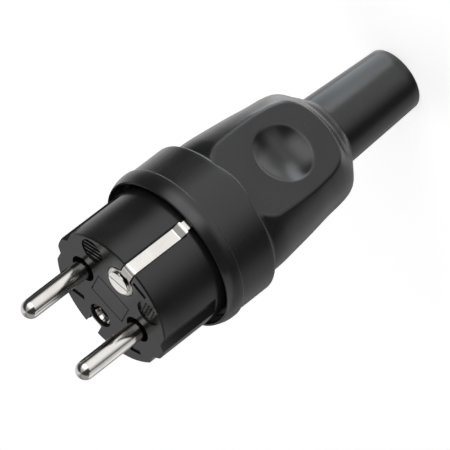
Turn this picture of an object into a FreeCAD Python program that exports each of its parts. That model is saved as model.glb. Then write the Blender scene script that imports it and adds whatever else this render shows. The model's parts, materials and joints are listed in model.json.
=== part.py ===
"""Rewirable rubber mains plug with two round pins, side earth strips and an earth socket.

The plug stands on the end of its cord sleeve with its pins up.
X runs through both pins, +Y is the side of the upper earth strip, +Z points along the pins.
Depths are measured back from the contact face, along -Z. All sizes are millimetres.
"""
import FreeCAD, Part
import math
import os

from FreeCAD import Vector

# How far a cutting shape reaches past what it cuts
overrun = 2.0

# Contact pins
pin_reach = 19.0
pin_radius = 2.4
pin_spacing = 19.0
pin_x = pin_spacing / 2
pin_root_radius = 2.2
pin_flange_radius = 3.6
pin_flange_thickness = 2.0
pin_tail_radius = 2.8
pin_tail_length = 14.0
wire_hole_radius = 1.5
wire_hole_length = 10.0
pin_recess_radius = 3.5
pin_recess_depth = 5.0

# Contact insert, the hard body that carries the pins
insert_rim = 8.5
insert_radius = pin_x + insert_rim
insert_length = 31.0
insert_wall = 2.8
insert_face_thickness = 4.0
insert_edge_chamfer = 0.35
insert_inner_radius = insert_radius - insert_wall
boss_wall = 1.1
boss_setback = 9.0
boss_end_depth = insert_length - boss_setback
guide_flat_sink = 1.7
guide_flat_x = insert_radius - guide_flat_sink
guide_flat_length = 16.5
guide_rib_tip = 4.0
guide_rib_root = 5.2
lower_notch_reach = 4.5
lower_notch_y = lower_notch_reach - insert_radius
lower_notch_width = 4.1
ridge_height = 0.6
ridge_setback = 4.5
ridge_depth = insert_length - ridge_setback
ridge_width = 2.0

# Relief on the contact face
mark_radius = 3.4
mark_inset = 4.21
mark_turn = math.radians(45.3)
mark_x = (insert_radius - mark_inset) * math.cos(mark_turn)
mark_y = (insert_radius - mark_inset) * math.sin(mark_turn)
mark_depth = 0.5
panel_width = 10.8
panel_height = 7.4
relief_depth = 0.3
pocket_depth = 0.4

# Small pockets in the contact face: centre x and y, length, height, turn in degrees
face_pockets = [
    (-7.7, -10.9, 4.4, 1.6, 24.0),
    (11.6, -8.3, 3.6, 1.8, 40.0),
    (5.1, 14.4, 4.4, 1.3, -6.0),
]

# Earth strips, stamped from sheet
strip_width = 3.1
strip_tab_width = 2.4
strip_offset = 0.45
strip_thickness = 0.8
strip_sink = 0.5
strip_top_y = insert_radius - strip_sink
strip_step_length = 1.5
strip_step_height = 1.5
strip_lifted_length = 4.5
bridge_thickness = 0.7
strip_tail_depth = boss_end_depth - bridge_thickness
strip_step_start = strip_tail_depth - strip_lifted_length - strip_step_length
strip_tail_height = 4.3
strip_tail_y = strip_top_y - strip_tail_height
strip_slot_clearance = 0.35
eyelet_radius = 4.0
neck_length = 7.2
eyelet_y = strip_top_y - neck_length
eyelet_sink = 0.6
lower_leg_length = 3.6
lower_leg_y = lower_leg_length - strip_top_y
lower_leg_depth = 1.2

# Earth socket for the pin of the wall outlet
earth_y = -10.0
earth_bore_radius = 2.45
earth_wall = 0.55
earth_front_depth = 0.9
earth_hole_radius = 3.3
earth_lead_in = 1.2
earth_lead_in_edge = 0.1
earth_rivet_radius = 1.6
earth_slit_width = 0.8
earth_slit_turn_deg = 125.0
earth_uncut_length = 4.0
bridge_width = 5.6
bridge_overlap = 1.5
bridge_reach = strip_tail_y + bridge_overlap
bridge_screw_rim = 1.8
bridge_leg_width = 4.0
bridge_leg_length = 12.0

# Terminal carrier behind the insert
carrier_thickness = 5.0
carrier_clearance = 0.15
tower_radius = 4.0
carrier_back_depth = boss_end_depth + carrier_thickness
tower_length = 13.0
terminal_screw_setback = 4.5
pin_tail_end_depth = boss_end_depth + pin_flange_thickness + pin_tail_length
terminal_screw_depth = pin_tail_end_depth - terminal_screw_setback
tongue_half_width = 9.6
tongue_bottom_y = -6.8
tongue_thickness = 1.3

# Fasteners
fit_clearance = 0.1
front_screw_radius = 1.5
front_screw_head_radius = 3.0
front_screw_head_height = 0.6
front_slot_width = 0.5
front_slot_depth = 0.25
front_slot_turn_deg = 15.0
nut_width = 6.0
nut_thickness = 2.5
terminal_screw_radius = 1.4
terminal_screw_length = 5.0
terminal_screw_bite = 2.0
carrier_screw_inset = 2.96
carrier_screw_turn = math.radians(-51.6)
carrier_screw_x = (insert_inner_radius - carrier_screw_inset) * math.cos(carrier_screw_turn)
carrier_screw_y = (insert_inner_radius - carrier_screw_inset) * math.sin(carrier_screw_turn)
carrier_screw_radius = 1.3
carrier_screw_length = 11.0
carrier_screw_head_radius = 2.2
screw_head_height = 1.3
slot_width = 0.7
slot_depth = 0.6

# Earth terminal block
block_width = 6.0
block_height = 7.0
block_length = 8.0
block_gap = 1.0
block_wire_stop = 2.0
block_depth = carrier_back_depth + block_gap
block_wire_y = bridge_thickness / 2 + wire_hole_radius

# Cord clamp
clamp_screw_x = 7.4
clamp_gap = 8.0
clamp_depth = carrier_back_depth + tower_length + clamp_gap
clamp_length = 5.0
clamp_end_depth = clamp_depth + clamp_length
tongue_margin = 1.0
tongue_end_depth = clamp_end_depth + tongue_margin
clamp_half_width = 9.6
clamp_under_y = 3.6
clamp_thickness = 1.8
clamp_boss_radius = 2.1
clamp_boss_top_y = -1.0
clamp_screw_tip_y = -6.2

# Rubber housing: collar
mouth_overlap = 2.9
mouth_depth = strip_tail_depth - mouth_overlap
mouth_gap = 1.45
mouth_radius = insert_radius + mouth_gap
strip_tail_room = 1.0
mouth_pocket_end_depth = strip_tail_depth + strip_tail_room
mouth_rim_width = 0.55
lip_run = 3.2
lip_depth = mouth_depth + lip_run
lip_length = 1.4
lip_end_depth = lip_depth + lip_length
collar_wall = 2.4
collar_radius = insert_radius + collar_wall
lip_height = 0.45
lip_radius = collar_radius + lip_height
collar_cover = 2.9
collar_end_depth = insert_length + collar_cover
collar_fillet = 2.2
bridge_bulge = 1.3
bridge_half_width = 6.8
ridge_clearance = 0.15

# Rubber housing: inside of the grip
cavity_front_width = insert_inner_radius
cavity_front_height = 11.6
cavity_back_width = 13.2
cavity_back_height = 9.4
cavity_margin = 8.0
cavity_back_depth = clamp_end_depth + cavity_margin
funnel_front_radius = 9.0
funnel_back_radius = 4.5
funnel_length = 9.0
funnel_end_depth = cavity_back_depth + funnel_length

# Rubber housing: grip
grip_cover = 0.3
grip_half_width = insert_radius + grip_cover
grip_setback = 1.1
grip_start_depth = collar_end_depth + grip_setback
pad_start_height = 15.4
pad_slope_deg = 6.0
pad_wall_depth = collar_end_depth + bridge_bulge
pad_wall_fillet = 2.6
dimple_setback = 18.2
dimple_centre_depth = collar_end_depth + dimple_setback
dimple_radius = 7.6
dimple_sink = 2.2
shoulder_length = 9.6
shoulder_end_depth = cavity_back_depth + shoulder_length
pad_cut_overrun = 10.0

# Rubber housing: cord sleeve
sleeve_overlap = 3.6
sleeve_root_depth = shoulder_end_depth - sleeve_overlap
sleeve_length = 25.0
sleeve_end_depth = shoulder_end_depth + sleeve_length
sleeve_root_radius = 9.7
sleeve_end_radius = 8.35
sleeve_edge_round = 0.4
cord_bore_radius = 5.5
face_z = sleeve_end_depth

# Sections of the grip before the pads are cut: share of its length, and half width and half height
# as shares of grip_half_width
grip_sections = [
    (0.0, 0.995, 0.907),
    (0.056, 1.0, 0.973),
    (0.140, 0.995, 1.025),
    (0.281, 0.967, 1.027),
    (0.478, 0.923, 1.011),
    (0.646, 0.880, 0.962),
    (0.758, 0.861, 0.869),
    (0.829, 0.839, 0.765),
    (0.871, 0.809, 0.683),
    (0.899, 0.770, 0.612),
    (0.933, 0.699, 0.563),
    (0.969, 0.612, 0.546),
    (1.0, 0.552, 0.536),
]

SIDES = (("line", -1), ("neutral", 1))


def z_at(depth):
    return face_z - depth


def rod(radius, front, back, x=0.0, y=0.0):
    """Cylinder along Z between two depths."""
    return Part.makeCylinder(radius, back - front, Vector(x, y, z_at(back)))


def cone(front_radius, back_radius, front, back, x=0.0, y=0.0):
    """Cone along Z with its own radius at each depth."""
    return Part.makeCone(back_radius, front_radius, back - front, Vector(x, y, z_at(back)))


def block(x0, x1, y0, y1, front, back):
    """Box between two depths."""
    return Part.makeBox(x1 - x0, y1 - y0, back - front, Vector(x0, y0, z_at(back)))


def prism(points, depth_front, depth_back):
    """Solid with an XY outline between two depths."""
    corners = [Vector(x, y, z_at(depth_back)) for x, y in points]
    face = Part.Face(Part.makePolygon(corners + corners[:1]))
    return face.extrude(Vector(0, 0, depth_back - depth_front))


def strip_from(profile):
    """Sheet strip with a (y, depth) outline, narrower where it is lifted behind the step."""
    corners = [Vector(strip_offset - strip_width / 2, y, z_at(depth)) for y, depth in profile]
    face = Part.Face(Part.makePolygon(corners + corners[:1]))
    strip = face.extrude(Vector(strip_width, 0, 0))
    tab_front = strip_step_start + strip_step_length
    outer = 2 * insert_radius
    half = strip_tab_width / 2
    left = block(-outer, strip_offset - half, 0, outer, tab_front, strip_tail_depth + 1)
    right = block(strip_offset + half, outer, 0, outer, tab_front, strip_tail_depth + 1)
    return strip.cut([left, right])


def section_wire(depth, half_width, half_height):
    """Closed ellipse at a depth, as one smooth edge that always starts on +X."""
    count = 24
    points = []
    for i in range(count):
        angle = 2 * math.pi * i / count
        points.append(Vector(half_width * math.cos(angle), half_height * math.sin(angle), z_at(depth)))
    curve = Part.BSplineCurve()
    curve.interpolate(Points=points, PeriodicFlag=True)
    return Part.Wire(curve.toShape())


def turned(profile):
    """Solid of revolution about Z from (radius, depth) points."""
    corners = [Vector(radius, 0, z_at(depth)) for radius, depth in profile]
    face = Part.Face(Part.makePolygon(corners + corners[:1]))
    return face.revolve(Vector(0, 0, 0), Vector(0, 0, 1), 360)


def slotted_head(shape, centre, direction, across):
    """Cut a screwdriver slot into a head whose top is at centre."""
    slot = Part.makeBox(slot_width, 4 * across, slot_depth, Vector(-slot_width / 2, -2 * across, -slot_depth))
    turn = FreeCAD.Rotation(Vector(0, 0, 1), direction)
    slot.Placement = FreeCAD.Placement(centre, turn)
    return shape.cut(slot)


def side_screw(x, depth, top_y, bottom_y, shank_radius, head_radius, head_height):
    """Cheese-head screw driven in from the +Y side."""
    up = Vector(0, 1, 0)
    head = Part.makeCylinder(head_radius, head_height, Vector(x, top_y - head_height, z_at(depth)), up)
    shank = Part.makeCylinder(shank_radius, top_y - bottom_y, Vector(x, bottom_y, z_at(depth)), up)
    return slotted_head(head.fuse(shank), Vector(x, top_y, z_at(depth)), up, head_radius)


def pad_height(depth):
    """Height of the flat pad above the axis at a depth."""
    return pad_start_height - (depth - collar_end_depth) * math.tan(math.radians(pad_slope_deg))


def pad_cut():
    """Everything above the upper pad: a step behind the collar, then the sloping flat."""
    top = 2 * collar_radius
    back = shoulder_end_depth + pad_cut_overrun
    slope = math.radians(pad_slope_deg)
    corner_turn = math.radians(90) - slope
    tangent = pad_wall_fillet * math.tan(corner_turn / 2)
    corner_y = pad_height(pad_wall_depth)
    wall_foot = Vector(0, corner_y + tangent, z_at(pad_wall_depth))
    flat_start_depth = pad_wall_depth + tangent * math.cos(slope)
    flat_start = Vector(0, pad_height(flat_start_depth), z_at(flat_start_depth))
    centre = Vector(0, wall_foot.y, z_at(pad_wall_depth + pad_wall_fillet))
    middle_angle = math.radians(180) + corner_turn / 2
    middle = centre + Vector(0, math.sin(middle_angle), -math.cos(middle_angle)) * pad_wall_fillet
    wall_top = Vector(0, top, z_at(pad_wall_depth))
    flat_end = Vector(0, pad_height(back), z_at(back))
    end_top = Vector(0, top, z_at(back))
    edges = [
        Part.LineSegment(wall_top, wall_foot).toShape(),
        Part.Arc(wall_foot, middle, flat_start).toShape(),
        Part.LineSegment(flat_start, flat_end).toShape(),
        Part.LineSegment(flat_end, end_top).toShape(),
        Part.LineSegment(end_top, wall_top).toShape(),
    ]
    face = Part.Face(Part.Wire(edges))
    face.translate(Vector(-top, 0, 0))
    return face.extrude(Vector(2 * top, 0, 0))


def pad_dimple():
    """Ball that presses the round finger dimple into the upper pad."""
    ball_radius = (dimple_radius ** 2 + dimple_sink ** 2) / (2 * dimple_sink)
    slope = math.radians(pad_slope_deg)
    out = Vector(0, math.cos(slope), -math.sin(slope))
    foot = Vector(0, pad_height(dimple_centre_depth), z_at(dimple_centre_depth))
    return Part.makeSphere(ball_radius, foot + out * (ball_radius - dimple_sink))


def both_sides(shape):
    """The shape and its copy turned half a turn about Z."""
    other = shape.copy()
    other.rotate(Vector(0, 0, 0), Vector(0, 0, 1), 180)
    return [shape, other]


def collar():
    """Lip, collar and the hollow fillet that runs from it down to the grip."""
    fillet_root = collar_radius - collar_fillet
    body = turned([
        (0, mouth_depth),
        (mouth_radius + mouth_rim_width, mouth_depth),
        (lip_radius - 0.25, lip_depth - 1.2),
        (lip_radius, lip_depth),
        (lip_radius, lip_end_depth - 0.1),
        (collar_radius, lip_end_depth + 0.1),
        (collar_radius, collar_end_depth),
        (collar_radius, collar_end_depth + collar_fillet),
        (0, collar_end_depth + collar_fillet),
    ])
    hollow = Part.makeTorus(
        collar_radius, collar_fillet,
        Vector(0, 0, z_at(collar_end_depth + collar_fillet)), Vector(0, 0, 1),
    )
    tail = rod(2 * collar_radius, collar_end_depth, collar_end_depth + collar_fillet)
    keep = rod(fillet_root, collar_end_depth, collar_end_depth + collar_fillet)
    body = body.cut(hollow.common(tail.cut(keep)))
    reach = collar_end_depth + bridge_bulge
    arc_radius = (bridge_half_width ** 2 + bridge_bulge ** 2) / (2 * bridge_bulge)
    plan = Part.makeCylinder(
        arc_radius, 4 * collar_radius,
        Vector(0, -2 * collar_radius, z_at(reach - arc_radius)), Vector(0, 1, 0),
    )
    tongue = rod(collar_radius, collar_end_depth - 1, reach).common(plan)
    return body.fuse(tongue)


def grip():
    """Tapered grip with its rounded shoulder, before the sleeve is added."""
    length = shoulder_end_depth - grip_start_depth
    wires = [
        section_wire(grip_start_depth + share * length, width * grip_half_width, height * grip_half_width)
        for share, width, height in grip_sections
    ]
    return Part.makeLoft(wires, True, False)


def housing_inside():
    """Space for the insert, the terminals and the cord."""
    pocket = rod(mouth_radius, mouth_depth - 1, mouth_pocket_end_depth)
    seat_bore = rod(insert_radius + carrier_clearance, mouth_depth, insert_length)
    groove = rod(
        insert_radius + ridge_height + ridge_clearance,
        ridge_depth - ridge_clearance,
        ridge_depth + ridge_width + ridge_clearance,
    )
    chamber = Part.makeLoft([
        section_wire(insert_length - 1, cavity_front_width, cavity_front_height),
        section_wire(cavity_back_depth, cavity_back_width, cavity_back_height),
    ], True, True)
    funnel = cone(funnel_front_radius, funnel_back_radius, cavity_back_depth - 1, funnel_end_depth)
    cord_bore = rod(cord_bore_radius, cavity_back_depth, sleeve_end_depth + 1)
    return [pocket, seat_bore, groove, chamber, funnel, cord_bore]


def rubber_housing():
    """One moulded piece: collar, grip with two dimpled pads, and cord sleeve."""
    sleeve = cone(sleeve_root_radius, sleeve_end_radius, sleeve_root_depth, sleeve_end_depth)
    end_edges = [e for e in sleeve.Edges if len(e.Vertexes) == 1 and abs(e.BoundBox.ZMax) < 0.01]
    sleeve = sleeve.makeFillet(sleeve_edge_round, end_edges)
    body = collar().fuse([grip()])
    for tool in both_sides(pad_cut()) + both_sides(pad_dimple()):
        body = body.cut(tool)
    body = body.fuse(sleeve)
    for space in housing_inside():
        body = body.cut(space)
    return body.removeSplitter()


def guide_cut(side):
    """What the insert loses on one side: a flat with a rib left standing in its middle."""
    outer = insert_radius + overrun
    flat = block(
        min(side * guide_flat_x, side * outer), max(side * guide_flat_x, side * outer),
        -outer, outer, -1, guide_flat_length,
    )
    rib = prism([
        (side * (guide_flat_x - 0.5), -guide_rib_root / 2),
        (side * guide_flat_x, -guide_rib_root / 2),
        (side * insert_radius, -guide_rib_tip / 2),
        (side * outer, -guide_rib_tip / 2),
        (side * outer, guide_rib_tip / 2),
        (side * insert_radius, guide_rib_tip / 2),
        (side * guide_flat_x, guide_rib_root / 2),
        (side * (guide_flat_x - 0.5), guide_rib_root / 2),
    ], -1, guide_flat_length)
    return flat.cut(rib)


def strip_slots():
    """Channels of the insert in which the two earth strips lie."""
    left = strip_offset - strip_width / 2 - strip_slot_clearance
    right = strip_offset + strip_width / 2 + strip_slot_clearance
    floor_y = strip_top_y - strip_thickness - fit_clearance
    outer = insert_radius + overrun
    run_end = strip_step_start + strip_step_length
    tail_front = strip_tail_depth - strip_thickness - fit_clearance
    tail_end = strip_tail_depth + fit_clearance
    side_run = block(left, right, floor_y, outer, -1, run_end)
    window = block(left, right, strip_tail_y - fit_clearance, outer, tail_front, tail_end)
    neck = block(left, right, eyelet_y, outer, -1, eyelet_sink)
    leg_back = lower_leg_depth + strip_thickness + fit_clearance
    leg = block(left, right, -lower_leg_y - fit_clearance, outer, lower_leg_depth - 1, leg_back)
    lower_leg = both_sides(leg)[1]
    return both_sides(side_run) + both_sides(window) + [neck, lower_leg]


def contact_insert():
    """Hard front body: face, side wall, guide ribs and the bosses inside it."""
    shell = rod(insert_radius, 0, insert_length)
    front_edge = [e for e in shell.Edges if abs(e.BoundBox.ZMin - face_z) < 0.01]
    shell = shell.makeChamfer(insert_edge_chamfer, front_edge)
    ridge = turned([
        (insert_inner_radius + 1, ridge_depth),
        (insert_radius, ridge_depth),
        (insert_radius + ridge_height, ridge_depth + ridge_height),
        (insert_radius + ridge_height, ridge_depth + ridge_width),
        (insert_inner_radius + 1, ridge_depth + ridge_width),
    ])
    body = shell.fuse(ridge).cut(rod(insert_inner_radius, insert_face_thickness, insert_length + 1))
    bosses = []
    drills = []
    for _, side in SIDES:
        x = side * pin_x
        bosses.append(rod(pin_recess_radius + boss_wall, 1, boss_end_depth, x))
        drills.append(rod(pin_root_radius + fit_clearance, -1, boss_end_depth + 1, x))
        drills.append(rod(pin_recess_radius, -1, pin_recess_depth, x))
        screw_x = side * carrier_screw_x
        bosses.append(rod(2 * carrier_screw_radius, 1, boss_end_depth, screw_x, carrier_screw_y))
        drills.append(rod(
            carrier_screw_radius, carrier_back_depth - carrier_screw_length,
            boss_end_depth + 1, screw_x, carrier_screw_y,
        ))
        drills.append(rod(mark_radius, -1, mark_depth, side * mark_x, mark_y))
        drills.append(guide_cut(side))
    bridge_front = strip_tail_depth
    bosses.append(rod(2 * front_screw_radius + boss_wall, 1, bridge_front, 0, eyelet_y))
    bosses.append(rod(earth_hole_radius + boss_wall, 1, bridge_front, 0, earth_y))
    drills.append(rod(front_screw_radius + fit_clearance, -1, bridge_front + 1, 0, eyelet_y))
    drills.append(rod(eyelet_radius + fit_clearance, -1, eyelet_sink, 0, eyelet_y))
    drills.append(rod(earth_hole_radius, -1, bridge_front + 1, 0, earth_y))
    drills.append(block(
        -strip_offset - lower_notch_width / 2, -strip_offset + lower_notch_width / 2,
        -2 * insert_radius, lower_notch_y, -1, lower_leg_depth,
    ))
    for x, y, length, height, turn in face_pockets:
        pocket = block(-length / 2, length / 2, -height / 2, height / 2, -1, pocket_depth)
        pocket.rotate(Vector(0, 0, 0), Vector(0, 0, 1), turn)
        pocket.translate(Vector(x, y, 0))
        drills.append(pocket)
    panel_frame = block(
        -panel_width / 2, panel_width / 2, -panel_height / 2, panel_height / 2, -1, relief_depth,
    ).cut(block(
        -panel_width / 2 + relief_depth, panel_width / 2 - relief_depth,
        -panel_height / 2 + relief_depth, panel_height / 2 - relief_depth, -1, relief_depth,
    ))
    drills.append(panel_frame)
    bore = rod(insert_inner_radius + 0.2, 0, insert_length)
    body = body.fuse([boss.common(bore) for boss in bosses])
    return body.cut(drills + strip_slots()).removeSplitter()


def contact_pin(side):
    """Turned pin: round tip, shaft, flange and a hollow tail that takes the wire."""
    x = side * pin_x
    shaft = rod(pin_radius, pin_radius - pin_reach, 0, x)
    root = rod(pin_root_radius, 0, boss_end_depth, x)
    tip = Part.makeSphere(pin_radius, Vector(x, 0, z_at(pin_radius - pin_reach)))
    flange = rod(pin_flange_radius, boss_end_depth, boss_end_depth + pin_flange_thickness, x)
    tail = rod(pin_tail_radius, boss_end_depth, pin_tail_end_depth, x)
    pin = shaft.fuse([root, tip, flange, tail])
    wire_hole = rod(wire_hole_radius, pin_tail_end_depth - wire_hole_length, pin_tail_end_depth + 1, x)
    pin = pin.cut(wire_hole)
    screw_hole = Part.makeCylinder(
        terminal_screw_radius, pin_tail_radius + 1, Vector(x, 0, z_at(terminal_screw_depth)), Vector(0, 1, 0),
    )
    return pin.cut(screw_hole).removeSplitter()


def terminal_screw(side):
    """Grub-like screw with a small head that clamps the wire in a pin's tail."""
    top_y = pin_tail_radius + terminal_screw_length - terminal_screw_bite
    return side_screw(
        side * pin_x, terminal_screw_depth, top_y, top_y - terminal_screw_length,
        terminal_screw_radius, terminal_screw_radius + 0.3, screw_head_height,
    )


def strip_side_profile(front_depth):
    """Side run, step over the flange and tail of a strip, as outer and inner (y, depth) rows."""
    outer_y = strip_top_y
    inner_y = strip_top_y - strip_thickness
    step_end = strip_step_start + strip_step_length
    lifted = outer_y + strip_step_height
    outer = [
        (outer_y, front_depth),
        (outer_y, strip_step_start),
        (lifted, step_end),
        (lifted, strip_tail_depth),
        (strip_tail_y, strip_tail_depth),
    ]
    inner = [
        (strip_tail_y, strip_tail_depth - strip_thickness),
        (lifted - strip_thickness, strip_tail_depth - strip_thickness),
        (lifted - strip_thickness, step_end),
        (inner_y, strip_step_start),
        (inner_y, front_depth),
    ]
    return outer, inner


def earth_strip_upper():
    """Upper earth strip: eyelet on the face, bend over the edge, side run and tail."""
    outer, inner = strip_side_profile(eyelet_sink)
    face_front = eyelet_sink - strip_thickness
    bend = strip_thickness / 2
    profile = [(eyelet_y, face_front), (strip_top_y - bend, face_front), (strip_top_y, face_front + bend)]
    profile += outer + inner[:-1] + [(strip_top_y - strip_thickness, eyelet_sink), (eyelet_y, eyelet_sink)]
    strip = strip_from(profile)
    eyelet = rod(eyelet_radius, face_front, eyelet_sink, 0, eyelet_y)
    strip = strip.fuse(eyelet)
    hole = rod(front_screw_radius + fit_clearance, face_front - 1, eyelet_sink + 1, 0, eyelet_y)
    return strip.cut(hole).removeSplitter()


def earth_strip_lower():
    """Lower earth strip: a short leg turned in behind the notch, side run and tail."""
    leg_front = lower_leg_depth
    leg_back = leg_front + strip_thickness
    outer, inner = strip_side_profile(leg_back)
    bend = strip_thickness / 2
    profile = [(-lower_leg_y, leg_front), (strip_top_y - bend, leg_front), (strip_top_y, leg_front + bend)]
    profile += outer + inner[:-1] + [(strip_top_y - strip_thickness, leg_back), (-lower_leg_y, leg_back)]
    strip = strip_from(profile)
    strip.rotate(Vector(0, 0, 0), Vector(0, 0, 1), 180)
    return strip


def earth_bridge():
    """Plate that joins both strips and the socket, with a leg to the earth terminal."""
    back = strip_tail_depth + bridge_thickness
    plate = block(
        -bridge_width / 2, bridge_width / 2, -bridge_reach, bridge_reach, strip_tail_depth, back,
    )
    leg = block(
        -bridge_leg_width / 2, bridge_leg_width / 2, -bridge_thickness / 2, bridge_thickness / 2,
        strip_tail_depth, back + bridge_leg_length,
    )
    pad = rod(earth_bore_radius + earth_wall + 0.6, strip_tail_depth, back, 0, earth_y)
    screw_pad = rod(front_screw_radius + bridge_screw_rim, strip_tail_depth, back, 0, eyelet_y)
    plate = plate.fuse([leg, pad, screw_pad])
    drills = [
        rod(front_screw_radius + fit_clearance, strip_tail_depth - 1, back + 1, 0, eyelet_y),
        rod(earth_rivet_radius, strip_tail_depth - 1, back + 1, 0, earth_y),
    ]
    return plate.cut(drills).removeSplitter()


def earth_socket():
    """Slit spring sleeve that takes the outlet's earth pin, with a flared mouth."""
    outer = earth_bore_radius + earth_wall
    sleeve = rod(outer, earth_front_depth, strip_tail_depth)
    bore = rod(earth_bore_radius, earth_front_depth - 1, strip_tail_depth + 1)
    flare = cone(
        outer - earth_lead_in_edge, earth_bore_radius, earth_front_depth, earth_front_depth + earth_lead_in,
    )
    slit = block(
        -earth_slit_width / 2, earth_slit_width / 2, 0, outer + 1,
        earth_front_depth - 1, strip_tail_depth - earth_uncut_length,
    )
    slit.rotate(Vector(0, 0, 0), Vector(0, 0, 1), earth_slit_turn_deg)
    socket = sleeve.cut([bore, flare, slit])
    socket.translate(Vector(0, earth_y, 0))
    return socket


def earth_terminal_block():
    """Brass block on the leg of the bridge, with a wire hole and a screw hole."""
    body = block(
        -block_width / 2, block_width / 2, -block_height / 2, block_height / 2,
        block_depth, block_depth + block_length,
    )
    leg_slot = block(
        -bridge_leg_width / 2 - fit_clearance, bridge_leg_width / 2 + fit_clearance,
        -bridge_thickness / 2 - fit_clearance, bridge_thickness / 2 + fit_clearance,
        block_depth - 1, strip_tail_depth + bridge_thickness + bridge_leg_length + fit_clearance,
    )
    wire_hole = rod(
        wire_hole_radius, block_depth + block_wire_stop, block_depth + block_length + 1, 0, block_wire_y,
    )
    screw_hole = Part.makeCylinder(
        terminal_screw_radius, block_height, Vector(0, block_wire_y, z_at(block_depth + block_length / 2)),
        Vector(0, 1, 0),
    )
    return body.cut([leg_slot, wire_hole, screw_hole]).removeSplitter()


def earth_terminal_screw():
    top_y = block_height / 2 + screw_head_height
    return side_screw(
        0, block_depth + block_length / 2, top_y, block_wire_y,
        terminal_screw_radius, terminal_screw_radius + 0.6, screw_head_height,
    )


def terminal_carrier():
    """Rear half of the insert: disc, two terminal towers and the tongue of the cord clamp."""
    body = rod(insert_inner_radius - carrier_clearance, boss_end_depth, carrier_back_depth)
    tongue_top_y = tongue_bottom_y + tongue_thickness
    tongue = block(
        -tongue_half_width, tongue_half_width, tongue_bottom_y, tongue_top_y,
        carrier_back_depth - 1, tongue_end_depth,
    )
    parts = [tongue]
    drills = []
    clamp_middle = clamp_depth + clamp_length / 2
    for _, side in SIDES:
        x = side * pin_x
        parts.append(rod(tower_radius, carrier_back_depth - 1, carrier_back_depth + tower_length, x))
        drills.append(rod(
            pin_flange_radius + carrier_clearance, boss_end_depth - 1,
            boss_end_depth + pin_flange_thickness, x,
        ))
        drills.append(rod(
            pin_tail_radius + fit_clearance, boss_end_depth, carrier_back_depth + tower_length + 1, x,
        ))
        drills.append(Part.makeCylinder(
            terminal_screw_radius + 0.3 + fit_clearance, tower_radius + 1,
            Vector(x, 0, z_at(terminal_screw_depth)), Vector(0, 1, 0),
        ))
        drills.append(rod(
            carrier_screw_radius + fit_clearance, boss_end_depth - 1, carrier_back_depth + 1,
            side * carrier_screw_x, carrier_screw_y,
        ))
        clamp_x = side * clamp_screw_x
        parts.append(Part.makeCylinder(
            clamp_boss_radius, clamp_boss_top_y - tongue_bottom_y,
            Vector(clamp_x, tongue_bottom_y, z_at(clamp_middle)), Vector(0, 1, 0),
        ))
        drills.append(Part.makeCylinder(
            terminal_screw_radius, clamp_boss_top_y - clamp_screw_tip_y + 1,
            Vector(clamp_x, clamp_screw_tip_y, z_at(clamp_middle)), Vector(0, 1, 0),
        ))
    nut_half = nut_width / 2 + fit_clearance
    drills += [
        block(-nut_half, nut_half, eyelet_y - nut_half, eyelet_y + nut_half,
              carrier_back_depth - nut_thickness, carrier_back_depth + 1),
        rod(front_screw_radius + fit_clearance, boss_end_depth - 1, carrier_back_depth + 1, 0, eyelet_y),
        block(-bridge_leg_width / 2 - fit_clearance, bridge_leg_width / 2 + fit_clearance,
              -bridge_thickness / 2 - fit_clearance, bridge_thickness / 2 + fit_clearance,
              boss_end_depth - 1, carrier_back_depth + 1),
    ]
    return body.fuse(parts).cut(drills).removeSplitter()


def front_screw():
    """Screw with a low flat head on the eyelet and a shallow slot."""
    seat = eyelet_sink - strip_thickness
    head_front = seat - front_screw_head_height
    head = rod(front_screw_head_radius, head_front, seat)
    shank = rod(front_screw_radius, head_front, carrier_back_depth)
    slot = block(
        -2 * front_screw_head_radius, 2 * front_screw_head_radius, -front_slot_width / 2, front_slot_width / 2,
        head_front - 1, head_front + front_slot_depth,
    )
    slot.rotate(Vector(0, 0, 0), Vector(0, 0, 1), front_slot_turn_deg)
    screw = head.fuse(shank).cut(slot)
    screw.translate(Vector(0, eyelet_y, 0))
    return screw.removeSplitter()


def front_screw_nut():
    half = nut_width / 2
    front = carrier_back_depth - nut_thickness
    body = block(-half, half, eyelet_y - half, eyelet_y + half, front, carrier_back_depth)
    return body.cut(rod(front_screw_radius, front - 1, carrier_back_depth + 1, 0, eyelet_y))


def carrier_screw(side):
    """Self-tapping screw that holds the carrier to the insert."""
    x = side * carrier_screw_x
    seat = carrier_back_depth
    head = rod(carrier_screw_head_radius, seat, seat + screw_head_height, x, carrier_screw_y)
    shank = rod(carrier_screw_radius, seat - carrier_screw_length, seat, x, carrier_screw_y)
    centre = Vector(x, carrier_screw_y, z_at(seat + screw_head_height))
    return slotted_head(head.fuse(shank), centre, Vector(0, 0, -1), carrier_screw_head_radius)


def cord_clamp_bridge():
    """Bar that two screws pull down onto the cord, hollowed where the cord runs."""
    top_y = clamp_under_y + clamp_thickness
    body = block(
        -clamp_half_width, clamp_half_width, clamp_under_y, top_y, clamp_depth, clamp_depth + clamp_length,
    )
    saddle = rod(cord_bore_radius, clamp_depth - 1, clamp_depth + clamp_length + 1, 0, -0.9)
    holes = [
        Part.makeCylinder(
            terminal_screw_radius + fit_clearance, clamp_thickness + 2 * overrun,
            Vector(side * clamp_screw_x, clamp_under_y - overrun, z_at(clamp_depth + clamp_length / 2)),
            Vector(0, 1, 0),
        )
        for _, side in SIDES
    ]
    return body.cut([saddle] + holes).removeSplitter()


def cord_clamp_screw(side):
    top_y = clamp_under_y + clamp_thickness + screw_head_height
    return side_screw(
        side * clamp_screw_x, clamp_depth + clamp_length / 2, top_y, clamp_screw_tip_y,
        terminal_screw_radius, carrier_screw_head_radius, screw_head_height,
    )


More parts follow.
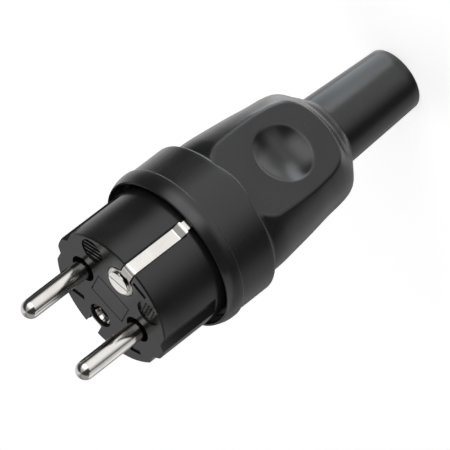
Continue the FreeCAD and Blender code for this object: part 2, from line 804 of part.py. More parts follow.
def build():
    nodes = {
        "rubber_housing": rubber_housing(),
        "contact_insert": contact_insert(),
        "terminal_carrier": terminal_carrier(),
        "earth_strip_upper": earth_strip_upper(),
        "earth_strip_lower": earth_strip_lower(),
        "earth_bridge": earth_bridge(),
        "earth_socket": earth_socket(),
        "earth_terminal_block": earth_terminal_block(),
        "earth_terminal_screw": earth_terminal_screw(),
        "front_screw": front_screw(),
        "front_screw_nut": front_screw_nut(),
        "cord_clamp_bridge": cord_clamp_bridge(),
    }
    for name, side in SIDES:
        nodes[name + "_pin"] = contact_pin(side)
        nodes[name + "_terminal_screw"] = terminal_screw(side)
        nodes[name + "_side_carrier_screw"] = carrier_screw(side)
        nodes[name + "_side_clamp_screw"] = cord_clamp_screw(side)
    return nodes


os.makedirs("parts", exist_ok=True)
for node, shape in build().items():
    solids = shape.Solids
    print(node, "solids", len(solids), "valid", shape.isValid(), "volume", round(shape.Volume, 1))
    shape.exportStep("parts/" + node + ".step")
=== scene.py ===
"""Studio picture of a black rubber mains plug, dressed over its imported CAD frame.

The plug stands on the end of its cord sleeve, pins up, and the camera is rolled as in the photograph.
Sizes are millimetres in the plug's own terms: x runs through the pins, y towards the upper earth strip,
and depth is measured back from the contact face towards the sleeve.
"""

import json
import math

import bmesh
import bpy
import numpy as np
from mathutils import Matrix, Vector


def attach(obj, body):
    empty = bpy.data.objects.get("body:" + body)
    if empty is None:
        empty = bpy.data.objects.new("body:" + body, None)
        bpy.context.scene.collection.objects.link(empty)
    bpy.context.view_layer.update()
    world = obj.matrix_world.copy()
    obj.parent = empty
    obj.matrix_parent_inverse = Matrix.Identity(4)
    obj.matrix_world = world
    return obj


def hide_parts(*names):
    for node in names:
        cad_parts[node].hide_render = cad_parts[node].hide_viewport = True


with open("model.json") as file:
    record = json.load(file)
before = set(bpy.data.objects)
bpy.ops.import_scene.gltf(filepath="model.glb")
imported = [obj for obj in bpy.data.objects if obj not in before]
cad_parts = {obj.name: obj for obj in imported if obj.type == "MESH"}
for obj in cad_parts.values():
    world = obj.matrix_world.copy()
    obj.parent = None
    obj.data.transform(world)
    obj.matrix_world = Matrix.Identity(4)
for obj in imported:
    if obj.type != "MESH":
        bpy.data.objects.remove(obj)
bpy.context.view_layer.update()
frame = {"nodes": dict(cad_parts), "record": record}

MM = 0.001
SLEEVE_END = 95.6

# Collar and mouth of the rubber housing
MOUTH_DEPTH = 18.4
MOUTH_RADIUS = 19.45
MOUTH_OUTER_RADIUS = 20.0
MOUTH_ROUND = 0.3
POCKET_END = 22.3
SEAT_RADIUS = 18.15
SEAT_END = 30.5
LIP_DEPTH = 21.6
LIP_RADIUS = 20.83
LIP_END = 23.0
LIP_ROUND = 0.25
COLLAR_RADIUS = 20.38
COLLAR_END = 33.9
COLLAR_HOLLOW = 2.2
BULGE = 1.3
BULGE_HALF_WIDTH = 6.8
SHARP_ROUND = 0.45
SOFT_ROUND = 1.1

# Pads of the grip
PAD_START = 34.0
PAD_HEIGHT = 15.4
PAD_SLOPE = math.tan(math.radians(6.0))
PAD_EDGE_ROUND = 0.5
DIMPLE_DEPTH = 52.1
DIMPLE_RADIUS = 7.6
DIMPLE_SINK = 2.2
DIMPLE_EDGE_ROUND = 0.12

# Sleeve and the space inside
SLEEVE_ROOT = 67.0
SLEEVE_ROOT_RADIUS = 9.7
SLEEVE_END_RADIUS = 8.35
SLEEVE_EDGE_ROUND = 0.4
SHOULDER_CREASE = 0.3
CORD_RADIUS = 5.5
CORD_EDGE_ROUND = 0.2
CORD_BORE_START = 67.8
CAVITY_BACK = 61.0
CAVITY_BACK_RADIUS = 9.0
CAVITY_FRONT_RADIUS = 11.0

# Stretch where the grip closes onto the sleeve
GRIP_END_START = 66.0
GRIP_END_STOP = 71.5

# Grip sections: depth, half width, half height before the pads
GRIP = [
    (33.0, 18.1, 15.9),
    (35.0, 18.2, 16.6),
    (37.0, 18.3, 17.8),
    (40.0, 18.2, 18.75),
    (45.0, 17.7, 18.8),
    (52.0, 16.9, 18.5),
    (58.0, 16.1, 17.6),
    (62.0, 15.75, 15.9),
    (64.5, 15.35, 14.0),
    (66.0, 14.8, 12.5),
    (67.0, 14.1, 11.2),
    (68.2, 12.8, 10.3),
    (69.5, 11.2, 9.9),
    (70.6, 9.6, 9.3),
    (72.0, 6.0, 6.0),
]

# Earth strips
STRIP_WIDTH = 3.1
STRIP_TAB_WIDTH = 2.4
STRIP_THICKNESS = 0.8
STRIP_OFFSET = 0.45
STRIP_TOP = 17.5
STRIP_STEP_START = 15.3
STRIP_STEP = 1.5
STRIP_RISE = 1.5
STRIP_TAIL_DEPTH = 21.3
STRIP_TAIL_Y = 13.2
STRIP_BEND = 0.5
STRIP_EDGE_ROUND = 0.14
EYELET_Y = 10.3
EYELET_RADIUS = 3.9
EYELET_HOLE_RADIUS = 1.7
EYELET_ROUND = 0.25
EYELET_BACK = 0.6
LOWER_LEG_Y = 13.9
LOWER_LEG_DEPTH = 1.2

# Guide ribs on the insert's sides, whose flanks slope more than those of the frame
GUIDE_FLAT_X = 16.3
GUIDE_RIB_HALF = 2.6
GUIDE_RIB_SLOPED_HALF = 3.5
SAME_PLACE = 0.02

# Relief in the round marks: ridges in the left one and dots in the right one
MARK_X = 9.7
MARK_Y = 9.8
MARK_RADIUS = 3.4
RELIEF_DEPTH = 0.38
RIDGES = 4
RIDGE_PITCH = 1.2
RIDGE_WIDTH = 0.35
RIDGE_TURN = 30.0
RIDGE_END_GAP = 0.5
DOTS = 7
DOT_PITCH = 0.9
DOT_SIZE = 0.42
DOT_REACH = 2.6

ROUND_STEPS = 320


def curve_through(stations, values):
    """Smooth function through stations, whose slopes follow the neighbours."""
    t = np.array(stations, float)
    v = np.array(values, float)
    rise = np.diff(v) / np.diff(t)
    together = rise[:-1] * rise[1:]
    mean = np.where(together > 0, 2 * together / np.where(together > 0, rise[:-1] + rise[1:], 1), 0)
    slope = np.concatenate([rise[:1], mean, rise[-1:]])

    def at(x):
        x = np.clip(x, t[0], t[-1])
        i = np.clip(np.searchsorted(t, x) - 1, 0, len(t) - 2)
        h = t[i + 1] - t[i]
        s = (x - t[i]) / h
        return (
            v[i] * (1 + 2 * s) * (1 - s) ** 2 + slope[i] * h * s * (1 - s) ** 2
            + v[i + 1] * s * s * (3 - 2 * s) + slope[i + 1] * h * s * s * (s - 1)
        )

    return at


def soft_min(a, b, k):
    """The smaller of two values, with their crossing rounded over k."""
    h = np.clip(0.5 + 0.5 * (b - a) / k, 0, 1)
    return b * (1 - h) + a * h - k * h * (1 - h)


def soft_max(a, b, k):
    return -soft_min(-a, -b, k)


half_width_at = curve_through([g[0] for g in GRIP], [g[1] for g in GRIP])
half_height_at = curve_through([g[0] for g in GRIP], [g[2] for g in GRIP])


def grip_radius(angle, depth):
    """Outer radius of the grip and sleeve at an angle round the axis and a depth."""
    cos, sin = np.cos(angle), np.abs(np.sin(angle))
    w, h = half_width_at(depth), half_height_at(depth)
    ellipse = w * h / np.sqrt((h * cos) ** 2 + (w * sin) ** 2)
    flat = PAD_HEIGHT - (depth - PAD_START) * PAD_SLOPE
    ball = (DIMPLE_RADIUS ** 2 + DIMPLE_SINK ** 2) / (2 * DIMPLE_SINK)
    safe_sin = np.maximum(sin, 0.15)
    pad = flat / safe_sin
    for _ in range(6):
        off_centre = np.hypot(pad * cos, (depth - DIMPLE_DEPTH) / math.cos(math.atan(PAD_SLOPE)))
        sunk = np.sqrt(np.maximum(ball ** 2 - off_centre ** 2, 0)) - (ball - DIMPLE_SINK)
        pad = (flat - soft_max(sunk, 0 * sunk, DIMPLE_EDGE_ROUND)) / safe_sin
    body = soft_min(ellipse, pad, PAD_EDGE_ROUND)
    run = (depth - SLEEVE_ROOT) / (SLEEVE_END - SLEEVE_ROOT)
    sleeve = SLEEVE_ROOT_RADIUS + (SLEEVE_END_RADIUS - SLEEVE_ROOT_RADIUS) * run
    return soft_max(body, sleeve + 0 * body, SHOULDER_CREASE)


def place(x, y, depth):
    return Vector((x, y, SLEEVE_END - depth)) * MM


def spun(name, rows, steps=ROUND_STEPS, closed=False, centre=(0, 0), sharp_angle=32):
    """Turned piece from (radius, depth) rows; a row's values may change round the axis."""
    shape = bmesh.new()
    profile = [shape.verts.new((1, 0, i)) for i in range(len(rows))]
    ends = list(zip(profile, profile[1:]))
    if closed:
        ends.append((profile[-1], profile[0]))
    edges = [shape.edges.new(pair) for pair in ends]
    bmesh.ops.spin(
        shape, geom=profile + edges, cent=(0, 0, 0), axis=(0, 0, 1), angle=2 * math.pi,
        steps=steps, use_merge=True,
    )
    for vert in shape.verts:
        radius, depth = rows[round(vert.co.z)]
        turn = math.atan2(vert.co.y, vert.co.x)
        step = round(turn / (2 * math.pi) * steps) % steps
        r = float(np.broadcast_to(radius, (steps,))[step])
        d = float(np.broadcast_to(depth, (steps,))[step])
        vert.co = place(centre[0] + r * math.cos(turn), centre[1] + r * math.sin(turn), d)
    bmesh.ops.remove_doubles(shape, verts=shape.verts, dist=1e-7)
    return finish_mesh(name, shape, sharp_angle)


def finish_mesh(name, shape, sharp_angle=32):
    """Turn a bmesh into a smooth-shaded object with its hard edges marked."""
    bmesh.ops.recalc_face_normals(shape, faces=shape.faces)
    for face in shape.faces:
        face.smooth = True
    for edge in shape.edges:
        if len(edge.link_faces) == 2 and edge.calc_face_angle(0) > math.radians(sharp_angle):
            edge.smooth = False
    mesh = bpy.data.meshes.new(name)
    shape.to_mesh(mesh)
    shape.free()
    piece = bpy.data.objects.new(name, mesh)
    bpy.context.scene.collection.objects.link(piece)
    return piece


def arc(centre_radius, centre_depth, size, start, end, steps):
    """Rows along a round corner; angles in degrees, 0 outwards and 90 towards the sleeve."""
    rows = []
    for i in range(steps + 1):
        t = math.radians(start + (end - start) * i / steps)
        rows.append((centre_radius + size * math.cos(t), centre_depth + size * math.sin(t)))
    return rows


def housing_rows():
    """Profile of the housing, from its seat out over the mouth, back to the sleeve's end and in."""
    angles = np.arange(ROUND_STEPS) * 2 * math.pi / ROUND_STEPS

    # Seat and mouth
    rows = [(SEAT_RADIUS, SEAT_END), (SEAT_RADIUS, POCKET_END), (MOUTH_RADIUS - MOUTH_ROUND, POCKET_END)]
    rows += [(MOUTH_RADIUS, POCKET_END - MOUTH_ROUND), (MOUTH_RADIUS, MOUTH_DEPTH + 0.8)]
    rows += arc(MOUTH_RADIUS + MOUTH_ROUND, MOUTH_DEPTH + MOUTH_ROUND, MOUTH_ROUND, 180, 300, 6)

    # Shoulder and lip
    shoulder = curve_through(
        [MOUTH_DEPTH + 0.1, MOUTH_DEPTH + 1.2, LIP_DEPTH - 0.9, LIP_DEPTH],
        [MOUTH_OUTER_RADIUS, MOUTH_OUTER_RADIUS + 0.42, LIP_RADIUS - 0.12, LIP_RADIUS],
    )
    for depth in np.linspace(MOUTH_DEPTH + 0.2, LIP_DEPTH, 12):
        rows.append((float(shoulder(depth)), depth))
    rows.append((LIP_RADIUS, LIP_END - LIP_ROUND - 0.1))
    rows += arc(LIP_RADIUS - LIP_ROUND, LIP_END - LIP_ROUND, LIP_ROUND, 20, 90, 4)
    band = LIP_END + 0.12
    rows += [(COLLAR_RADIUS + 0.08, LIP_END + 0.02), (COLLAR_RADIUS, band)]

    # Collar, whose rear edge bulges over each pad
    across = COLLAR_RADIUS * np.cos(angles)
    lobe = np.clip(1 - (across / BULGE_HALF_WIDTH) ** 2, 0, 1)
    end = COLLAR_END + BULGE * lobe
    soft = SHARP_ROUND + (SOFT_ROUND - SHARP_ROUND) * lobe
    for t in np.linspace(0, 1, 12)[1:]:
        rows.append((COLLAR_RADIUS, band + (end - soft - band) * t))
    for t in np.radians(np.linspace(0, 90, 7))[1:]:
        rows.append((COLLAR_RADIUS - soft * (1 - np.cos(t)), end - soft * (1 - np.sin(t))))

    # Hollow between the collar and the grip
    landing = grip_radius(angles, end + COLLAR_HOLLOW)
    top = COLLAR_RADIUS - soft
    for t in np.radians(np.linspace(0, 90, 12))[1:]:
        rows.append((landing + (top - landing) * (1 - np.sin(t)), end + COLLAR_HOLLOW * (1 - np.cos(t))))

    # Grip, its end above the sleeve and the sleeve
    start = end + COLLAR_HOLLOW
    for t in np.linspace(0, 1, 84)[1:]:
        depth = start + (GRIP_END_START - start) * t
        rows.append((grip_radius(angles, depth), depth))
    for depth in np.linspace(GRIP_END_START, GRIP_END_STOP, 45)[1:]:
        rows.append((grip_radius(angles, depth + 0 * angles), depth))
    edge_radius, edge_depth = SLEEVE_END_RADIUS - SLEEVE_EDGE_ROUND, SLEEVE_END - SLEEVE_EDGE_ROUND
    for depth in np.linspace(GRIP_END_STOP, edge_depth, 12)[1:]:
        rows.append((grip_radius(angles, depth + 0 * angles), depth))
    rows += arc(edge_radius, edge_depth, SLEEVE_EDGE_ROUND, 10, 90, 5)

    # Cord bore and the space inside
    rows += [(CORD_RADIUS + CORD_EDGE_ROUND, SLEEVE_END), (CORD_RADIUS, SLEEVE_END - CORD_EDGE_ROUND)]
    rows += [(CORD_RADIUS, CORD_BORE_START), (CAVITY_BACK_RADIUS, CAVITY_BACK)]
    rows.append((CAVITY_FRONT_RADIUS, SEAT_END + 0.5))
    return rows


def clean_copy(name, node, sharp_angle=25):
    """Own copy of a CAD node with its flat faces joined, so that it shades evenly."""
    shape = bmesh.new()
    shape.from_mesh(frame["nodes"][node].data)
    bmesh.ops.remove_doubles(shape, verts=shape.verts, dist=2e-6)
    bmesh.ops.dissolve_limit(
        shape, angle_limit=math.radians(0.6), verts=shape.verts, edges=shape.edges,
        use_dissolve_boundaries=False,
    )
    return finish_mesh(name, shape, sharp_angle)


def bent_strip(name, start, heading, moves, mirror):
    """Sheet strip bent along a path in the plane of y and depth.

    start and heading are (y, depth); moves are ("run", length), ("bend", degrees) or ("narrow", width).
    """
    shape = bmesh.new()
    half = STRIP_WIDTH / 2
    ahead = Vector((0, heading[0], heading[1]))
    aside = Vector((0, -ahead.z, ahead.y))
    centre = Vector((STRIP_OFFSET, start[0], start[1]))
    corners = []
    for x, t in ((-half, -0.5), (half, -0.5), (half, 0.5), (-half, 0.5)):
        corners.append(shape.verts.new(centre + Vector((x, 0, 0)) + aside * (t * STRIP_THICKNESS)))
    face = shape.faces.new(corners)
    shape.faces.new([shape.verts.new(v.co) for v in reversed(corners)])
    for kind, amount in moves:
        if kind == "run":
            made = bmesh.ops.extrude_face_region(shape, geom=[face])["geom"]
            verts = [g for g in made if isinstance(g, bmesh.types.BMVert)]
            bmesh.ops.translate(shape, verts=verts, vec=ahead * amount)
            old = face
            face = [g for g in made if isinstance(g, bmesh.types.BMFace)][0]
            if old.is_valid:
                shape.faces.remove(old)
        elif kind == "narrow":
            for vert in face.verts:
                vert.co.x = STRIP_OFFSET + math.copysign(amount / 2, vert.co.x - STRIP_OFFSET)
        else:
            turn = math.radians(amount)
            radius = STRIP_BEND + STRIP_THICKNESS / 2
            middle = face.calc_center_median()
            pivot = middle + aside * math.copysign(radius, turn)
            geom = [face] + list(face.edges) + list(face.verts)
            made = bmesh.ops.spin(
                shape, geom=geom, cent=pivot, axis=(1, 0, 0), angle=turn, steps=8, use_duplicate=False,
            )["geom_last"]
            face = [g for g in made if isinstance(g, bmesh.types.BMFace)][0]
            rotation = Matrix.Rotation(turn, 3, "X")
            ahead = rotation @ ahead
            aside = rotation @ aside
    bmesh.ops.remove_doubles(shape, verts=shape.verts, dist=1e-4)
    for vert in shape.verts:
        vert.co = place(vert.co.x, vert.co.y, vert.co.z)
        if mirror:
            vert.co.x, vert.co.y = -vert.co.x, -vert.co.y
    piece = finish_mesh(name, shape)
    soften(piece, STRIP_EDGE_ROUND)
    return piece


def soften(piece, width, segments=3, angle=45):
    """Round the edges of a piece that turn by more than an angle."""
    bevel = piece.modifiers.new("soft edges", "BEVEL")
    bevel.width = width * MM
    bevel.segments = segments
    bevel.limit_method = "ANGLE"
    bevel.angle_limit = math.radians(angle)
    bevel.use_clamp_overlap = True


class Value:
    """A node's output, with arithmetic that adds Math nodes to its material."""

    def __init__(self, shader, output):
        self.shader = shader
        self.output = output

    def math(self, operation, *values):
        return self.shader.node("ShaderNodeMath", dict(enumerate(values)), operation=operation)

    def __add__(self, other):
        return self.math("ADD", self, other)

    def __radd__(self, other):
        return self.math("ADD", other, self)

    def __sub__(self, other):
        return self.math("SUBTRACT", self, other)

    def __rsub__(self, other):
        return self.math("SUBTRACT", other, self)

    def __mul__(self, other):
        return self.math("MULTIPLY", self, other)

    def __rmul__(self, other):
        return self.math("MULTIPLY", other, self)

    def band(self, low, high, out_low=0.0, out_high=1.0):
        """Map low..high onto out_low..out_high, smoothly and without going past the ends."""
        values = {"Value": self, "From Min": low, "From Max": high, "To Min": out_low, "To Max": out_high}
        return self.shader.node("ShaderNodeMapRange", values, interpolation_type="SMOOTHSTEP")


class Shader:
    """A node tree that is built up by calls."""

    def __init__(self, owner):
        owner.use_nodes = True
        self.owner = owner
        self.tree = owner.node_tree
        self.tree.nodes.clear()

    def node(self, kind, inputs, output=0, **settings):
        """Add a node, set its options and inputs, and return one of its outputs."""
        made = self.tree.nodes.new(kind)
        for key, value in settings.items():
            setattr(made, key, value)
        for key, value in inputs.items():
            if isinstance(value, Value):
                self.tree.links.new(value.output, made.inputs[key])
            else:
                made.inputs[key].default_value = value
        return Value(self, made.outputs[output])

    def noise(self, scale, detail=3.0, stretch=(1, 1, 1), roughness=0.5):
        """Noise in the plug's own metres; stretch squeezes the pattern along an axis."""
        point = self.node("ShaderNodeTexCoord", {}, output="Object")
        point = self.node("ShaderNodeMapping", {"Vector": point, "Scale": stretch})
        return self.node("ShaderNodeTexNoise", {
            "Vector": point, "Scale": scale, "Detail": detail, "Roughness": roughness,
        })

    def blend(self, factor, a, b):
        """Colour between a and b."""
        colour_a, colour_b, result = 6, 7, 2
        values = {0: factor, colour_a: a, colour_b: b}
        return self.node("ShaderNodeMix", values, output=result, data_type="RGBA")

    def surface(self, bump, bump_strength, bump_distance, **inputs):
        """Close a material with a Principled shader; inputs use names with underscores for spaces."""
        values = {key.replace("_", " "): value for key, value in inputs.items()}
        values["Normal"] = self.node("ShaderNodeBump", {
            "Height": bump, "Strength": bump_strength, "Distance": bump_distance,
        })
        return self.close("ShaderNodeOutputMaterial", self.node("ShaderNodeBsdfPrincipled", values))

    def close(self, kind, shader):
        """Add the output node of a material or a world and return its owner."""
        made = self.tree.nodes.new(kind)
        self.tree.links.new(shader.output, made.inputs["Surface"])
        return self.owner


def grey(value):
    return (value, value, value, 1.0)


def rubber():
    s = Shader(bpy.data.materials.new("housing_rubber"))
    cloud = s.noise(60, 2)
    fine = s.noise(5200, 3, roughness=0.6)
    smear = s.noise(260, 3, stretch=(1, 1, 0.3))
    colour = s.blend(cloud.band(0.35, 0.65), (0.0115, 0.0115, 0.012, 1), (0.0155, 0.0155, 0.016, 1))
    return s.surface(fine, 0.10, 0.00004, Base_Color=colour, Roughness=smear.band(0.3, 0.7, 0.22, 0.28))


def insert_plastic():
    s = Shader(bpy.data.materials.new("insert_plastic"))
    cloud = s.noise(90, 2)
    fine = s.noise(3600, 2)
    colour = s.blend(cloud.band(0.35, 0.65), (0.010, 0.010, 0.0105, 1), (0.014, 0.014, 0.0145, 1))
    return s.surface(fine, 0.12, 0.00004, Base_Color=colour, Roughness=cloud.band(0.3, 0.7, 0.20, 0.26))


def carrier_plastic():
    s = Shader(bpy.data.materials.new("carrier_plastic"))
    cloud = s.noise(120, 2)
    colour = s.blend(cloud.band(0.35, 0.65), (0.08, 0.08, 0.085, 1), (0.1, 0.1, 0.105, 1))
    return s.surface(
        s.noise(3000, 2), 0.15, 0.00004, Base_Color=colour, Roughness=cloud.band(0.3, 0.7, 0.45, 0.55),
    )


def metal(name, low, high, smooth, rough):
    s = Shader(bpy.data.materials.new(name))
    drawn = s.noise(1800, 3, stretch=(1, 1, 0.06))
    stain = s.noise(170, 3)
    colour = s.blend(stain.band(0.35, 0.7), high, low)
    roughness = (drawn * 0.5 + stain * 0.5).band(0.35, 0.65, smooth, rough)
    return s.surface(drawn, 0.15, 0.00002, Base_Color=colour, Roughness=roughness, Metallic=1.0)


def dress(materials):
    """Give every CAD node the material of its slot."""
    slots = {part["node"]: part["material_slot"] for part in frame["record"]["subparts"]}
    for name, node in frame["nodes"].items():
        material = materials[slots[name]]
        if not node.data.materials:
            node.data.materials.append(material)
        for slot in node.material_slots:
            slot.material = material


def fit(piece, materials, finish, node=None):
    """Give a piece its finish and let it stand for a CAD node."""
    piece.data.materials.append(materials[finish])
    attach(piece, "root")
    if node:
        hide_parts(node)


def add_housing(materials):
    fit(spun("housing_shell", housing_rows(), closed=True), materials, "housing_rubber", "rubber_housing")


def add_insert(materials):
    """Contact insert with softened edges and sloped flanks on its guide ribs."""
    piece = clean_copy("insert_body", "contact_insert")
    for vert in piece.data.vertices:
        x, y, _ = vert.co / MM
        if abs(abs(x) - GUIDE_FLAT_X) < SAME_PLACE and abs(abs(y) - GUIDE_RIB_HALF) < SAME_PLACE:
            vert.co.y = math.copysign(GUIDE_RIB_SLOPED_HALF, y) * MM
    soften(piece, 0.1, 2, 50)
    fit(piece, materials, "insert_plastic", "contact_insert")


def add_mark_reliefs(materials):
    """Plain ridges in the left round mark and dots in the right one."""
    shape = bmesh.new()
    turn = Matrix.Rotation(math.radians(RIDGE_TURN), 3, "Z")
    for i in range(RIDGES):
        across = (i - (RIDGES - 1) / 2) * RIDGE_PITCH
        length = 2 * math.sqrt(MARK_RADIUS ** 2 - across ** 2) - 2 * RIDGE_END_GAP
        made = bmesh.ops.create_cube(shape, size=1)["verts"]
        bmesh.ops.scale(shape, verts=made, vec=(length, RIDGE_WIDTH, RIDGE_WIDTH))
        bmesh.ops.translate(shape, verts=made, vec=(0, across, 0))
        bmesh.ops.rotate(shape, verts=made, cent=(0, 0, 0), matrix=turn)
        bmesh.ops.translate(shape, verts=made, vec=(-MARK_X, MARK_Y, 0))
    for i in range(DOTS):
        for j in range(DOTS):
            x, y = (i - DOTS // 2) * DOT_PITCH, (j - DOTS // 2) * DOT_PITCH
            if math.hypot(x, y) > DOT_REACH:
                continue
            made = bmesh.ops.create_cube(shape, size=DOT_SIZE)["verts"]
            bmesh.ops.translate(shape, verts=made, vec=(MARK_X + x, MARK_Y + y, 0))
    for vert in shape.verts:
        vert.co = place(vert.co.x, vert.co.y, RELIEF_DEPTH - vert.co.z)
    fit(finish_mesh("mark_reliefs", shape), materials, "insert_plastic")


def add_strips(materials):
    """Both earth strips: the upper one from its eyelet, the lower one from its foot in the notch."""
    slope = math.degrees(math.atan2(STRIP_RISE, STRIP_STEP))
    reach = STRIP_BEND + STRIP_THICKNESS
    half = STRIP_THICKNESS / 2
    bend_run = (STRIP_BEND + half) * math.tan(math.radians(slope / 2))
    slant = math.hypot(STRIP_RISE, STRIP_STEP) - 2 * bend_run
    lifted = STRIP_TAIL_DEPTH - reach - (STRIP_STEP_START + STRIP_STEP + bend_run)
    tail = STRIP_TOP + STRIP_RISE - reach - STRIP_TAIL_Y

    def bent(name, y, front, mirror):
        leg = [("run", STRIP_TOP - reach - y), ("bend", 90)]
        side = [("run", STRIP_STEP_START - bend_run - front - reach), ("bend", -slope), ("run", slant)]
        end = [("bend", slope), ("narrow", STRIP_TAB_WIDTH), ("run", lifted), ("bend", 90), ("run", tail)]
        return bent_strip(name, (y, front + half), (1, 0), leg + side + end, mirror)

    upper = bent("upper_strip", EYELET_Y, EYELET_BACK - STRIP_THICKNESS, False)
    fit(upper, materials, "nickel", "earth_strip_upper")
    lower = bent("lower_strip", LOWER_LEG_Y, LOWER_LEG_DEPTH, True)
    fit(lower, materials, "nickel", "earth_strip_lower")


def add_eyelet(materials):
    front = EYELET_BACK - STRIP_THICKNESS
    rim = EYELET_RADIUS - EYELET_ROUND
    rows = [(EYELET_HOLE_RADIUS, front), (rim, front)]
    rows += arc(rim, front + EYELET_ROUND, EYELET_ROUND, -90, 0, 5)
    rows += [(EYELET_RADIUS, EYELET_BACK), (EYELET_HOLE_RADIUS, EYELET_BACK)]
    fit(spun("eyelet_ring", rows, steps=96, closed=True, centre=(0, EYELET_Y)), materials, "nickel")


def add_front_screw(materials):
    piece = clean_copy("screw_body", "front_screw")
    soften(piece, 0.07, 2)
    fit(piece, materials, "nickel", "front_screw")


# Camera of the photograph, fitted as a pinhole
CAMERA_PLACE = Vector((149.7, 888.3, 418.7 + SLEEVE_END)) * MM
CAMERA_RIGHT = Vector((0.6628, 0.2509, -0.7056))
CAMERA_UP = Vector((-0.7345, 0.4009, -0.5475))
CAMERA_NUDGE = 0.14 * MM
FOCAL_PIXELS = 4300
FRAME_PIXELS = 450
SENSOR = 36.0

# Soft lamps: place, aim, the two sizes in metres, power, colour. The first lights the sleeve's left side
# from past its end, the second the right side of the pins, and the third shows in the eyelet's mirror.
LAMPS = {
    "sleeve_lamp": ((-92, 38, 147), (0, 9, 85), 0.17, 0.04, 0.045, (0.93, 1.0, 1.05)),
    "pin_lamp": ((60, -10, 0), (0, -10, 0), 0.07, 0.044, 0.006, (1, 1, 1)),
    "screw_lamp": ((-2.9, -6.5, -8.4), (-2.9, -6.5, 0), 0.008, 0.0086, 0.00011, (1, 1, 1)),
}

# Black card under the pins, painted shade that stands in for the plug's shadow on the table as seen in
# reflections: x and depth of its edges, and its height
SHADOW_CARD = ((-75, -10), (-3, 22), -22)


def add_camera():
    camera = bpy.data.cameras.new("camera")
    camera.sensor_width = SENSOR
    camera.lens = SENSOR * FOCAL_PIXELS / FRAME_PIXELS
    camera.clip_start = 0.05
    camera.clip_end = 50
    holder = bpy.data.objects.new("camera", camera)
    right = CAMERA_RIGHT.normalized()
    back = right.cross(CAMERA_UP).normalized()
    up = back.cross(right)
    spot = CAMERA_PLACE + (up - right) * CAMERA_NUDGE
    holder.matrix_world = Matrix.Translation(spot) @ Matrix((right, up, back)).transposed().to_4x4()
    bpy.context.scene.collection.objects.link(holder)
    bpy.context.scene.camera = holder


def add_world():
    """Studio of soft panels along the plug: one overhead, a bright table below and dark sides.

    Each panel is set by its turn round the plug, in degrees from the upper strip, and by how far back it is,
    from -1 straight ahead of the pins to 1 straight behind the sleeve.
    """
    world = bpy.data.worlds.new("studio")
    bpy.context.scene.world = world
    s = Shader(world)
    direction = s.node("ShaderNodeTexCoord", {}, output="Generated")
    x = s.node("ShaderNodeSeparateXYZ", {"Vector": direction}, output="X")
    y = s.node("ShaderNodeSeparateXYZ", {"Vector": direction}, output="Y")
    turn = x.math("ARCTAN2", x, y) * (180 / math.pi)
    back = s.node("ShaderNodeSeparateXYZ", {"Vector": direction}, output="Z") * -1
    overhead = turn.band(-68, -36) * turn.band(14, 66, 1, 0) * back.band(-0.85, -0.5, 0.35, 1) * 1.35
    overhead = overhead * (1 + back.band(0.46, 0.53) * back.band(0.55, 0.61, 1, 0) * 0.55)
    overhead = overhead * back.band(0.5, 0.64, 1, 0.8) * (1 - turn.band(8, 34) * back.band(0.64, 0.78))
    overhead = overhead * (1 - turn.band(0, 20) * back.band(0.1, 0.3, 1, 0))
    front = turn.band(-62, -44) * turn.band(-4, 16, 1, 0)
    front = front * back.band(-0.5, -0.2) * back.band(0.05, 0.4, 1, 0) * 1.8
    left_back = turn.band(-160, -125) * turn.band(-60, -36, 1, 0) * back.band(0.5, 0.66) * 1.3
    beyond = back.band(0.84, 0.97) * 0.9
    left_table = turn.band(-180, -150, 0.5, 1) * turn.band(-134, -98, 1, 0) * 1.05
    right_table = turn.band(78, 108) * turn.band(145, 172, 1, 0.55) * 0.47
    right_table = right_table * (1 + back.band(0.46, 0.54) * 0.35)
    strength = 0.06 + overhead + front + left_back + beyond + left_table + right_table
    seen = s.node("ShaderNodeLightPath", {}, output="Is Camera Ray")
    strength = strength * (1 - seen) + seen
    s.close("ShaderNodeOutputWorld", s.node("ShaderNodeBackground", {"Strength": strength}))


def add_lamps():
    for name, (spot, aim, length, width, power, colour) in LAMPS.items():
        lamp = bpy.data.lights.new(name, "AREA")
        lamp.shape = "RECTANGLE"
        lamp.size = length
        lamp.size_y = width
        lamp.energy = power
        lamp.color = colour
        holder = bpy.data.objects.new(name, lamp)
        holder.location = place(*spot)
        holder.rotation_euler = (place(*spot) - place(*aim)).to_track_quat("Z", "Y").to_euler()
        holder.visible_camera = False
        bpy.context.scene.collection.objects.link(holder)


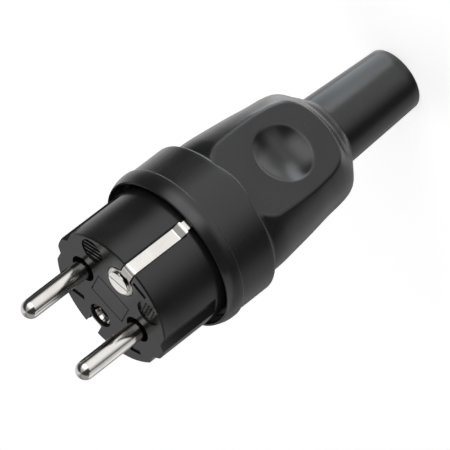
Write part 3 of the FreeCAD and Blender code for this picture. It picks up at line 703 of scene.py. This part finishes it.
def add_painted_shadow_card():
    """Black card beside the pins, seen in reflections alone: painted shade that stands in for the plug's
    shadow on the table below.
    """
    s = Shader(bpy.data.materials.new("painted_shadow_card"))
    s.close("ShaderNodeOutputMaterial", s.node("ShaderNodeBsdfDiffuse", {"Color": grey(0.01)}))
    (x0, x1), (front, rear), y = SHADOW_CARD
    shape = bmesh.new()
    bmesh.ops.create_grid(shape, x_segments=1, y_segments=1, size=0.5)
    for vert in shape.verts:
        x = x0 + (x1 - x0) * (vert.co.x + 0.5)
        vert.co = place(x, y, front + (rear - front) * (vert.co.y + 0.5))
    card = finish_mesh("painted_shadow_card", shape)
    card.visible_camera = False
    card.visible_diffuse = False
    card.visible_shadow = False
    card.data.materials.append(s.owner)


def add_floor():
    """Floor that is white to the camera, takes the plug's shadow and lets reflections see the panels."""
    s = Shader(bpy.data.materials.new("floor"))
    seen = s.node("ShaderNodeLightPath", {}, output="Is Camera Ray")
    mirrored = s.node("ShaderNodeLightPath", {}, output="Is Glossy Ray")
    shadow = s.node("ShaderNodeLightPath", {}, output="Is Shadow Ray")
    diffuse = s.node("ShaderNodeBsdfDiffuse", {"Color": grey(0.8)})
    glow = s.node("ShaderNodeEmission", {"Color": grey(1.0), "Strength": seen * 0.7})
    lit = s.node("ShaderNodeAddShader", {0: diffuse, 1: glow})
    clear = s.node("ShaderNodeBsdfTransparent", {})
    through = mirrored.math("MAXIMUM", mirrored, shadow)
    s.close("ShaderNodeOutputMaterial", s.node("ShaderNodeMixShader", {0: through, 1: lit, 2: clear}))
    shape = bmesh.new()
    bmesh.ops.create_grid(shape, x_segments=1, y_segments=1, size=6)
    floor = finish_mesh("floor", shape)
    floor.data.materials.append(s.owner)


def main():
    materials = {
        "housing_rubber": rubber(),
        "insert_plastic": insert_plastic(),
        "carrier_plastic": carrier_plastic(),
        "nickel": metal("nickel", (0.64, 0.62, 0.59, 1), (0.72, 0.70, 0.67, 1), 0.10, 0.20),
        "brass": metal("brass", (0.62, 0.47, 0.22, 1), (0.74, 0.58, 0.30, 1), 0.25, 0.4),
        "screw_steel": metal("screw_steel", (0.5, 0.5, 0.5, 1), (0.62, 0.62, 0.62, 1), 0.25, 0.4),
    }
    dress(materials)
    add_housing(materials)
    add_insert(materials)
    add_mark_reliefs(materials)
    add_strips(materials)
    add_eyelet(materials)
    add_front_screw(materials)
    add_camera()
    add_world()
    add_lamps()
    add_painted_shadow_card()
    add_floor()
    bpy.context.scene.view_settings.view_transform = "Standard"


main()
